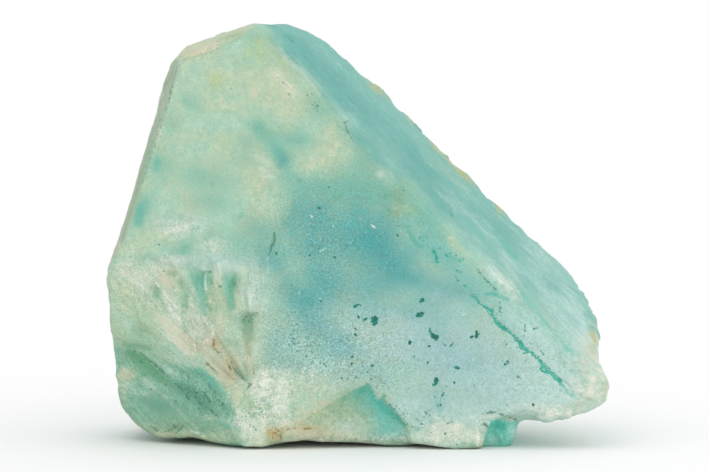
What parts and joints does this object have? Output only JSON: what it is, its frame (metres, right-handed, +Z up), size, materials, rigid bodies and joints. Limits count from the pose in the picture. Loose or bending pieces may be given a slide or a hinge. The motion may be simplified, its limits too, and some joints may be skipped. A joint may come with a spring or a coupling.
{
  "type": "rough amazonite",
  "caption": "Hand-sized rough block of blue-green amazonite feldspar: one flat sawn face with a crack and pits, broken cleavage faces behind, resting on a small flat foot.",
  "frame": {"origin": "under the middle of the bounding box, on the surface that the stone rests on", "axes": "+X to the right across the sawn face, +Y away from the sawn face, +Z up"},
  "size_m": [0.0914, 0.048, 0.0765],
  "materials": {
    "amazonite": "matte sawn face, silky cleavage faces"
  },
  "bodies": {
    "root": {"amazonite": "amazonite"}
  },
  "joints": []
}
